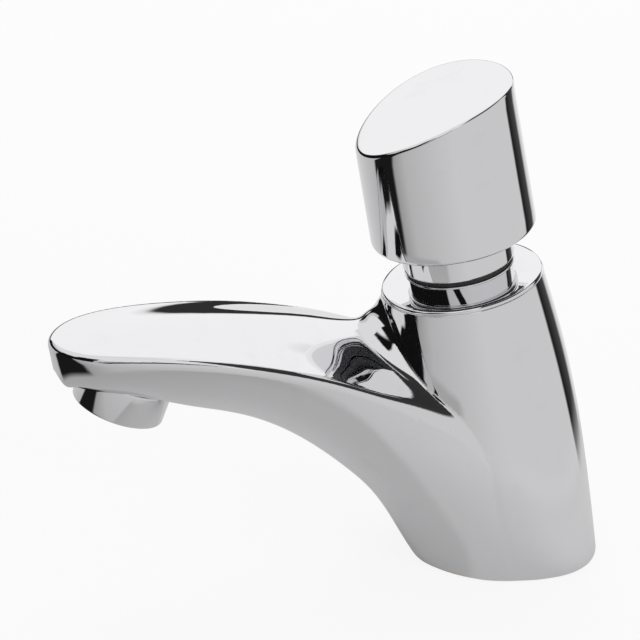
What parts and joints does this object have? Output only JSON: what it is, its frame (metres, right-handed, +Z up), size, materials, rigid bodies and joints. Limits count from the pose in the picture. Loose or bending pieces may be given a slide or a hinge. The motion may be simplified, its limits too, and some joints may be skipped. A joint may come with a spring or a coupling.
{
  "type": "push timed tap",
  "caption": "Chromed basin tap: leaning column with an arched leaf-shaped spout and a slanted push cap that starts a timed flow.",
  "frame": {"origin": "centre of the inlet socket in the plane of the base, where the tap stands on the deck", "axes": "+Z up, the spout points to -Y, +X is the side that the picture shows; the column and the push cap lean 9.66 degrees towards -Y"},
  "size_m": [0.0533, 0.14, 0.1278],
  "materials": {
    "chromed_brass": "mirror polished chrome plate on a brass casting",
    "plain_brass": "machined",
    "stainless_steel": "satin",
    "black_rubber": "matt moulded rubber",
    "grey_plastic": "moulded",
    "pale_plastic": "moulded"
  },
  "bodies": {
    "tap": {"tap_body": "chromed_brass", "base_gasket": "black_rubber", "inlet_strainer": "stainless_steel", "flow_restrictor": "pale_plastic", "valve_seat": "plain_brass", "seat_o_ring": "black_rubber", "cartridge_sleeve": "plain_brass", "sleeve_o_ring": "black_rubber", "cartridge_head": "chromed_brass", "stem_o_ring": "black_rubber", "neck_ring": "black_rubber", "neck_sleeve": "chromed_brass", "stem_bush": "pale_plastic", "return_spring": "stainless_steel", "aerator_housing": "chromed_brass", "aerator_mesh": "stainless_steel", "aerator_insert": "pale_plastic", "outlet_washer": "black_rubber"},
    "button": {"push_cap": "chromed_brass", "cap_insert": "grey_plastic", "cap_screw": "stainless_steel", "stem": "stainless_steel", "piston": "plain_brass", "piston_lip_seal": "black_rubber", "valve_washer": "black_rubber", "washer_plate": "plain_brass", "valve_nut": "plain_brass"}
  },
  "joints": [
    {"name": "button_press", "type": "slide", "parent": "tap", "child": "button", "axis": [0, 0.1678, -0.9858], "range_m": [0, 0.007], "stiffness_N_per_m": 1500, "springref_m": -0.006, "deforming": ["return_spring"]}
  ]
}
